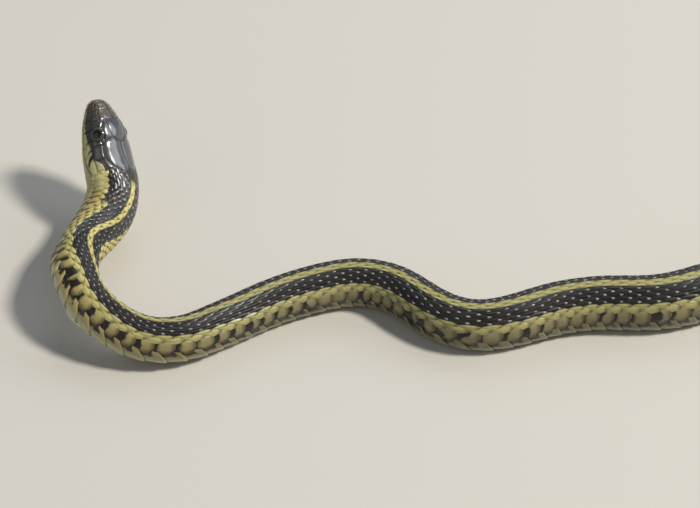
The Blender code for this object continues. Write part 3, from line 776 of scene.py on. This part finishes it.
def plate_coat(name, begins, steps, sides, first, last):
    """One joined mesh of belly plates; sides gives the angles that each spans."""
    flat_u, flat_v, is_foot, quads, bottom = raised_patch(PLATE_ALONG, np.linspace(0, 1, PLATE_ACROSS + 1))
    taper = np.abs(2 * flat_v - 1)**PLATE_CORNER
    down = np.where(is_foot, PLATE_FOOT, PLATE_TOP * flat_u**0.8 * (1 - CORNER_LOW * taper))
    count = len(begins)
    begin = begins[:, None]
    step = steps[:, None]
    left = sides[:, 0:1]
    right = sides[:, 1:2]
    t = left + (right - left) * flat_v[None]
    bow = PLATE_BOW * np.cos(np.radians(t - 180) * 0.9)
    s = begin + (flat_u[None] * PLATE_LONG * (1 - CORNER_SHORT * taper) - PLATE_TUCK + bow) * step
    big = np.clip(radius(begin) / 5.0, 0.16, 1.0)
    skin_depth = np.minimum(SKIN_DEPTH, 0.12 * radius(s))
    lift = -skin_depth + down[None] * big
    points = lay(np.clip(s, 0.3, TAIL_TIP), t, np.minimum(lift, -0.02)).reshape(-1, 3)
    blocks = copied_faces(count, len(flat_u), quads, bottom)
    both = coat_map(begin, step, flat_u, np.clip((t - 80) / 200, 0, 1), first, last)
    corners = np.concatenate([block.ravel() for block in blocks])
    chance = RNG.random((count, 1)) * np.ones((1, len(flat_u)))
    turn = 180 - np.abs(180 - t)
    return piece(name, points, blocks, both[corners], along=s, turn=turn,
                 tip=flat_u[None] * np.ones((count, 1)), chance=chance)


begins = marks[(marks >= PLATE_FROM) & (marks < TAIL_TIP - 4)]
steps = np.interp(begins, PITCH[:, 0], PITCH[:, 1])
whole = begins < VENT
plates = []
for number, (first, last) in enumerate(zip(COAT_SPLITS[:-1], COAT_SPLITS[1:])):
    chosen = (begins >= first) & (begins < last)
    single = chosen & whole
    paired = chosen & ~whole
    spans = [np.full((single.sum(), 2), (PLATE_ANGLE, 360 - PLATE_ANGLE)),
             np.full((paired.sum(), 2), (PLATE_ANGLE, 180 + PAIR_OVERLAP)),
             np.full((paired.sum(), 2), (180 - PAIR_OVERLAP, 360 - PLATE_ANGLE))]
    where = np.concatenate([begins[single], begins[paired], begins[paired] - 0.5 * steps[paired]])
    long = np.concatenate([steps[single], steps[paired], steps[paired]])
    name = "belly_plates_%d" % (number + 1)
    plate = plate_coat(name, where, long, np.concatenate(spans), first - 3, last + 3)
    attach(plate, "root")
    plates.append(plate)

# %% [markdown]
# ## Materials
# Colours that follow the animal's own rows and plates are sums and products of the attributes. As bare
# nodes they would be unreadable, so a small class wraps a socket, and shader maths reads like ordinary
# expressions. All other nodes are made by one method.

# %% Shader expressions
class Value:
    """A socket's number or colour, with arithmetic on it."""

    def __init__(self, graph, socket):
        self.graph = graph
        self.socket = socket

    def math(self, operation, *others, clamp=False):
        settings = {"operation": operation, "use_clamp": clamp}
        values = {0: self}
        values.update({i + 1: other for i, other in enumerate(others)})
        return self.graph.node("ShaderNodeMath", settings, values)

    def __add__(self, other):
        return self.math("ADD", other)

    __radd__ = __add__

    def __mul__(self, other):
        return self.math("MULTIPLY", other)

    __rmul__ = __mul__

    def __sub__(self, other):
        return self.math("SUBTRACT", other)

    def __rsub__(self, other):
        return self.graph.node("ShaderNodeMath", {"operation": "SUBTRACT"}, {0: other, 1: self})

    def clamp(self):
        return self.math("ADD", 0.0, clamp=True)

    def step(self, start, end):
        """Rises smoothly from 0 at start to 1 at end."""
        settings = {"interpolation_type": "SMOOTHSTEP"}
        if start > end:
            return 1 - self.step(end, start)
        return self.graph.node("ShaderNodeMapRange", settings, {0: self, 1: start, 2: end, 3: 0.0, 4: 1.0})

    def band(self, start, end, soft):
        """1 between start and end, with soft sides."""
        return self.step(start - soft, start + soft) * (1 - self.step(end - soft, end + soft))


class Graph:
    """The nodes of one material."""

    def __init__(self, name):
        self.material = bpy.data.materials.new(name)
        self.material.use_nodes = True
        self.tree = self.material.node_tree
        self.shader = self.tree.nodes["Principled BSDF"]

    def node(self, kind, settings, values, out=0):
        made = self.tree.nodes.new(kind)
        for key, value in settings.items():
            setattr(made, key, value)
        for key, value in values.items():
            self.put(made.inputs[key], value)
        return Value(self, made.outputs[out])

    def put(self, socket, value):
        if isinstance(value, Value):
            self.tree.links.new(value.socket, socket)
        elif isinstance(value, tuple) and len(value) == 3 and len(socket.default_value) == 4:
            socket.default_value = (*value, 1.0)
        else:
            socket.default_value = value

    def attribute(self, name):
        return self.node("ShaderNodeAttribute", {"attribute_name": name}, {}, out=2)

    def noise(self, scale, detail=3.0, rough=0.55):
        where = self.node("ShaderNodeTexCoord", {}, {}, out=3)
        return self.node("ShaderNodeTexNoise", {}, {"Vector": where, "Scale": scale, "Detail": detail,
                                                    "Roughness": rough})

    def mix(self, share, first, second):
        made = self.tree.nodes.new("ShaderNodeMix")
        made.data_type = "RGBA"
        self.put(made.inputs["Factor"], share)
        self.put([i for i in made.inputs if i.identifier == "A_Color"][0], first)
        self.put([i for i in made.inputs if i.identifier == "B_Color"][0], second)
        return Value(self, [o for o in made.outputs if o.identifier == "Result_Color"][0])

    def finish(self, colour, rough, bump=None, strength=0.3, depth=0.0001, coat=0.0, coat_rough=0.1):
        self.put(self.shader.inputs["Base Color"], colour)
        self.put(self.shader.inputs["Roughness"], rough)
        self.put(self.shader.inputs["Coat Weight"], coat)
        self.shader.inputs["Coat Roughness"].default_value = coat_rough
        if bump is not None:
            values = {"Strength": strength, "Distance": depth, "Height": bump}
            self.put(self.shader.inputs["Normal"], self.node("ShaderNodeBump", {}, values))
        return self.material

# %% [markdown]
# ## Colours of the body
# The pattern belongs to the animal and not to one piece: a black back, a yellow stripe along its middle
# and one on each flank, an olive lowest row darkened as painted shade, and a pale belly. A painted picture
# could hold it, but it would blur close up. Here one function works it out from the place and the angle, for
# skin and scales.

# %% Colours of the body
BLACK = (0.006, 0.006, 0.006)
BROWN = (0.022, 0.018, 0.013)
STRIPE = (0.23, 0.21, 0.065)
STRIPE_PALE = (0.42, 0.39, 0.17)
NECK_STRIPE = (0.52, 0.45, 0.14)
OLIVE_WITH_PAINTED_SHADE = (0.15, 0.125, 0.060)
FLANK_WITH_PAINTED_SHADE = (0.27, 0.235, 0.115)
BELLY = (0.42, 0.40, 0.22)
BELLY_SIDE = (0.30, 0.25, 0.13)
SPOT = (0.014, 0.012, 0.010)
PAINTED_TIP_HIGHLIGHT = (0.42, 0.42, 0.42)
RED_SKIN = (0.24, 0.05, 0.02)
THROAT = (0.44, 0.35, 0.115)
CHEEK = (0.56, 0.51, 0.22)
SCALE_RIM = (0.040, 0.034, 0.016)
SCALE_ROOT_PAINTED_SHADE = (0.10, 0.085, 0.03)
SKIN_DARK = (0.020, 0.016, 0.013)
BELLY_MIDDLE = (0.50, 0.49, 0.29)


def body_colour(graph):
    """Colour of the body at the attributes along, turn, middle and chance, and the places it reads."""
    turn = graph.attribute("turn").math("ABSOLUTE")
    middle = graph.attribute("middle").math("ABSOLUTE")
    along = graph.attribute("along")
    chance = graph.attribute("chance")
    wander = graph.noise(220.0, 2.0) - 0.5
    at = turn * 0.45 + middle * 0.55 + wander * 1.6
    fleck = graph.noise(1500.0, 3.0)
    colour = graph.mix(chance * 0.6 + fleck * 0.4, BLACK, BROWN)
    near_neck = along.step(95.0, 40.0)
    stripe = graph.mix(near_neck * 0.7, graph.mix(fleck, STRIPE, STRIPE_PALE), NECK_STRIPE)
    near_back = at + 1.3 * (1 - along.step(34.0, 64.0))
    colour = graph.mix(near_back.step(9.4, 8.0) * along.step(20.5, 22.5), colour, stripe)
    lifted = at + 13.0 * (1 - along.step(42.0, 54.0))
    flank = graph.mix(near_neck * 0.6, graph.mix(fleck * 0.8, STRIPE, STRIPE_PALE), NECK_STRIPE)
    colour = graph.mix(lifted.band(54.6, 73.5, 0.7) * along.step(30.0, 31.5), colour, flank)
    # Painted shade: the olive of the lowest row is darkened to stand in for the shade on the lower flank.
    low_row_and_painted_shade = graph.mix(graph.noise(420.0), OLIVE_WITH_PAINTED_SHADE, FLANK_WITH_PAINTED_SHADE)
    low_row_and_painted_shade = graph.mix(along.step(105.0, 40.0), low_row_and_painted_shade, THROAT)
    colour = graph.mix(lifted.step(73.0, 75.0), colour, low_row_and_painted_shade)
    cheek = along.step(24.6, 23.6) * at.step(64.0, 70.0)
    behind_cheek = along.band(24.6, 27.2, 0.2) * at.band(58.0, 68.0, 1.0)
    colour = graph.mix((cheek + behind_cheek).clamp(), colour, CHEEK)
    belly = graph.mix(graph.noise(260.0), BELLY_SIDE, BELLY)
    colour = graph.mix(turn.step(98.0, 125.0), colour, belly)
    sore = along.band(27.8, 28.8, 0.3) * graph.attribute("turn").band(-41.0, -35.0, 1.5)
    colour = graph.mix(sore * 0.8, colour, RED_SKIN)
    return colour, at, lifted, along, chance

# %% [markdown]
# ## Finish of the scales
# A real scale is darker at its rim, dry and slightly glossy, with a fine grain. A light scale is darker
# at its root as painted shade, where the scale before it overlaps. Many dark ones end in a pale dot, a
# painted highlight on the raised tip, and the lowest row has uneven black spots. Each scale's own number
# varies them.

# %% Finish of the scales
graph = Graph("scale_finish")
colour, at, lifted, along, chance = body_colour(graph)
tip = graph.attribute("tip")
across = graph.attribute("across").math("ABSOLUTE")
dark_row = at.step(8.6, 10.0) * lifted.step(54.5, 53.0)
edge = tip.step(0.80, 0.98) + across.step(0.62, 1.0) * 0.8
rim = (edge * (1 - dark_row) * along.step(21.0, 28.0) * 0.8).clamp()
colour = graph.mix(rim, colour, SCALE_RIM)
# Painted shade: the root of each light scale, where the scale before it overlaps, is coloured darker.
root_painted_shade = tip.step(0.62, 0.40) * (1 - dark_row) * along.step(24.0, 30.0)
colour = graph.mix(root_painted_shade * 0.55, colour, SCALE_ROOT_PAINTED_SHADE)
# Painted highlight: a pale dot at the tip of each dark scale stands in for the glint on its raised tip.
tip_highlight = tip.step(0.86, 0.94) * across.step(0.85, 0.30) * dark_row
colour = graph.mix(tip_highlight * (chance * 0.45 + 0.35), colour, PAINTED_TIP_HIGHLIGHT)
low_row = lifted.step(74.0, 76.0) * along.step(40.0, 50.0)
uneven = graph.noise(700.0, 3.0) * 0.22
patchy = graph.noise(120.0, 2.0).step(0.35, 0.65) * 0.28
spot = (tip + chance * 0.22 + uneven - patchy).step(0.70, 0.60) * low_row
colour = graph.mix(spot, colour, SPOT)
grain = graph.noise(5200.0, 2.0)
rough = grain * 0.12 + 0.34 - dark_row * 0.04
graph.shader.inputs["Specular IOR Level"].default_value = 0.3
scale_finish = graph.finish(colour, rough, bump=grain, strength=0.22, depth=0.00006,
                            coat=along.step(60.0, 25.0) * 0.45 + 0.08, coat_rough=0.2)
print("nodes in the finish of the scales:", len(graph.tree.nodes))

# %% [markdown]
# ## Finish of the skin and the belly plates
# The skin between the scales is duller and darker, with some red on the flanks. The belly plates are
# smooth and pale, darkened to the sides as painted shade, and carry a black spot near each end, as the real
# ones do.

# %% Finish of the skin and the belly plates
graph = Graph("skin_finish")
colour, at, lifted, along, chance = body_colour(graph)
colour = graph.mix(0.72, colour, SKIN_DARK)
red = graph.noise(900.0, 2.0).step(0.50, 0.64) * at.step(36.0, 46.0) * at.step(84.0, 76.0)
colour = graph.mix(red * 0.7, colour, RED_SKIN)
skin_finish = graph.finish(colour, 0.6, bump=graph.noise(3000.0), strength=0.4, depth=0.00008)

graph = Graph("belly_finish")
turn = graph.attribute("turn").math("ABSOLUTE")
along = graph.attribute("along")
tip = graph.attribute("tip")
chance = graph.attribute("chance")
cloud = graph.noise(330.0, 3.0)
# Painted shade: the sides of the belly plates run from near-black brown to the shaded flank colour.
side = graph.mix(cloud, BROWN, FLANK_WITH_PAINTED_SHADE)
side = graph.mix(along.step(105.0, 40.0), side, THROAT)
middle = graph.mix(cloud, BELLY, BELLY_MIDDLE)
colour = graph.mix(turn.step(100.0, 135.0), side, middle)
uneven = graph.noise(700.0, 3.0)
ragged = turn + uneven * 24.0
patchy = graph.noise(120.0, 2.0).step(0.35, 0.65) * 0.2
spot = (tip + chance * 0.16 + uneven * 0.16 - patchy).step(0.80, 0.70) * ragged.step(120.0, 113.0)
spot = spot * along.step(36.0, 50.0)
colour = graph.mix((spot + tip.step(0.95, 1.0) * 0.45).clamp(), colour, SPOT)
grain = graph.noise(2600.0, 2.0)
belly_finish = graph.finish(colour, grain * 0.1 + 0.32, bump=grain, strength=0.12, depth=0.00005,
                            coat=0.25, coat_rough=0.22)
print("nodes in the finish of the belly plates:", len(graph.tree.nodes))

# %% [markdown]
# ## Finish of the head
# The crown is a glossy dark grey, lightened and tinted blue as a painted sky reflection, that turns
# brown on the snout and the sides. The lips are yellow with black joints and a black wedge behind the eye,
# and the chin is paler. The nostril, the eye's hollow and the rim round it are darkened as painted shade.
# The masks made with the relief place these colours, so that a joint is dark exactly where it is deep.

# %% Finish of the head
graph = Graph("head_finish")
along = graph.attribute("along")
turn = graph.attribute("turn").math("ABSOLUTE")
joint = graph.attribute("joint")
line = graph.attribute("line")
hole = graph.attribute("hole")
lip = graph.attribute("lip").step(0.3, 0.7)
crown = graph.attribute("crown")
chance = graph.attribute("chance")
eyeward = graph.attribute("eyeward")
cloud = graph.noise(420.0, 4.0, 0.6)
fine = graph.noise(2600.0, 3.0)
# Painted reflection: the crown's dark grey is lightened and tinted blue to stand in for the sky's reflection.
crown_grey_and_painted_reflection = graph.mix(cloud, (0.026, 0.029, 0.036), (0.072, 0.075, 0.082))
snout = graph.mix(cloud, (0.070, 0.056, 0.034), (0.125, 0.10, 0.058))
top = graph.mix(along.step(5.5, 2.5), crown_grey_and_painted_reflection, snout)
top = graph.mix(chance * 0.35, top, (0.040, 0.038, 0.034))
brown = graph.mix(cloud, (0.020, 0.016, 0.012), (0.060, 0.048, 0.030))
top = graph.mix(turn.step(44.0, 58.0) * 0.8, top, brown)
pale = graph.mix(cloud, (0.36, 0.33, 0.13), (0.54, 0.50, 0.24))
boundary = 102.0 - along.step(5.5, 13.5) * 15.0 - along.step(13.6, 15.8) * 21.0 - along.step(17.0, 22.0) * 3.0
past = turn + fine * 5.0 - 2.5 - boundary
throat = graph.mix(cloud, (0.46, 0.40, 0.21), (0.62, 0.57, 0.34))
colour = graph.mix(past.step(-1.2, 1.2), top, pale)
colour = graph.mix(turn.step(112.0, 130.0), colour, throat)
mark = lip * past.step(13.0, 4.0) * along.step(3.0, 5.0)
colour = graph.mix((joint * (mark * 0.95 + 0.12)).clamp(), colour, (0.010, 0.008, 0.006))
behind_eye = (along - 13.1 - (turn - 86.0) * 0.157).band(-0.7, 0.55, 0.25) * turn.band(80.0, 101.0, 2.0)
colour = graph.mix(behind_eye * 0.95, colour, (0.010, 0.008, 0.006))
colour = graph.mix((joint * crown * 0.9).clamp(), colour, (0.005, 0.005, 0.005))
colour = graph.mix(line * 0.95, colour, (0.008, 0.006, 0.005))
# Painted shade: the nostril's pit is coloured nearly black.
colour = graph.mix(hole, colour, (0.010, 0.005, 0.004))
nose = (1 - hole) * along.band(0.7, 2.1, 0.4) * turn.band(60.0, 78.0, 4.0)
colour = graph.mix(nose * 0.4, colour, (0.24, 0.06, 0.035))
# Painted shade: the eye's hollow and the rim round it are darkened nearly to black.
colour = graph.mix(eyeward.step(2.15, 1.75), colour, (0.010, 0.009, 0.008))
rough = fine * 0.10 + 0.20 + (1 - crown) * 0.12 + joint * 0.4
head_finish = graph.finish(colour, rough, bump=cloud + fine * 0.4, strength=0.14, depth=0.00008,
                           coat=(crown * 0.8 + 0.15) * (1 - joint * 0.9), coat_rough=0.14)

# %% [markdown]
# ## Finish of the eyes
# The pupil is black in a dark brown iris, with a thin pale ring near the rim, and the edge where the
# ball sinks into its opening is painted nearly black as shade. Rings by distance need no modelling, and a
# clear coat gives the wet shine of the scale over the eye.

# %% Finish of the eyes
graph = Graph("eye_finish")
reach = graph.attribute("reach")
streak = graph.noise(1600.0, 2.0)
iris = graph.mix(streak, (0.020, 0.016, 0.012), (0.055, 0.043, 0.030))
colour = graph.mix(reach.step(0.92, 0.97), (0.002, 0.002, 0.002), (0.085, 0.066, 0.045))
colour = graph.mix(reach.step(0.98, 1.06), colour, iris)
colour = graph.mix(reach.band(1.43, 1.53, 0.03), colour, (0.15, 0.145, 0.13))
# Painted shade: the edge of the ball, where it sinks under the rim of its opening, is nearly black.
colour = graph.mix(reach.step(1.56, 1.64), colour, (0.012, 0.010, 0.008))
graph.shader.inputs["Specular IOR Level"].default_value = 0.1
eye_finish = graph.finish(colour, 0.2, coat=0.8, coat_rough=0.03)

# %% Put the finishes on
finishes = [(skin, skin_finish), (head_skin, head_finish)]
finishes += [(coat, scale_finish) for coat in coats]
finishes += [(plate, belly_finish) for plate in plates]
finishes += [(eye, eye_finish) for eye in eyes]
for thing, finish in finishes:
    thing.data.materials.append(finish)
print("pieces with a finish:", len(finishes))

# %% [markdown]
# ## Floor and light
# A plain pale floor, a strong soft key from the upper right as in the photograph, and three weaker
# soft lights. Light as hard as the sun would hide the neck's loop and the scales in black shadow.

# %% Floor and light
floor_mesh = bpy.data.meshes.new("floor")
half = 3.0
floor_corners = [(-half, -half, 0), (half, -half, 0), (half, half, 0), (-half, half, 0)]
floor_mesh.from_pydata(floor_corners, [], [(0, 1, 2, 3)])
floor = bpy.data.objects.new("floor", floor_mesh)
floor.location.z = -0.0002
scene.collection.objects.link(floor)
graph = Graph("floor_finish")
floor_mesh.materials.append(graph.finish((0.50, 0.475, 0.43), 0.85))

target = np.array([SHIFT[0] * MM, SHIFT[1] * MM, 0.01])


def area_light(name, offset, size, power, colour):
    data = bpy.data.lights.new(name, "AREA")
    data.size = size
    data.energy = power
    data.color = colour
    light = bpy.data.objects.new(name, data)
    scene.collection.objects.link(light)
    light.location = target + np.array(offset)
    light.rotation_euler = Vector([-part for part in offset]).to_track_quat("-Z", "Y").to_euler()


area_light("key", (1.56, -0.3, 1.9), 0.4, 72.0, (1.0, 0.96, 0.88))
area_light("fill", (-0.9, -0.8, 0.8), 1.2, 2.5, (0.86, 0.92, 1.0))
area_light("back_light", (0.3, 1.5, 1.35), 1.35, 9.0, (0.90, 0.95, 1.0))
area_light("side_light", (2.07, 0.45, 0.9), 1.26, 16.0, (0.88, 0.94, 1.0))
world = bpy.data.worlds.new("world")
world.use_nodes = True
world.node_tree.nodes["Background"].inputs["Color"].default_value = (0.82, 0.88, 1.0, 1)
world.node_tree.nodes["Background"].inputs["Strength"].default_value = 0.24
scene.world = world
scene.view_settings.view_transform = "Standard"
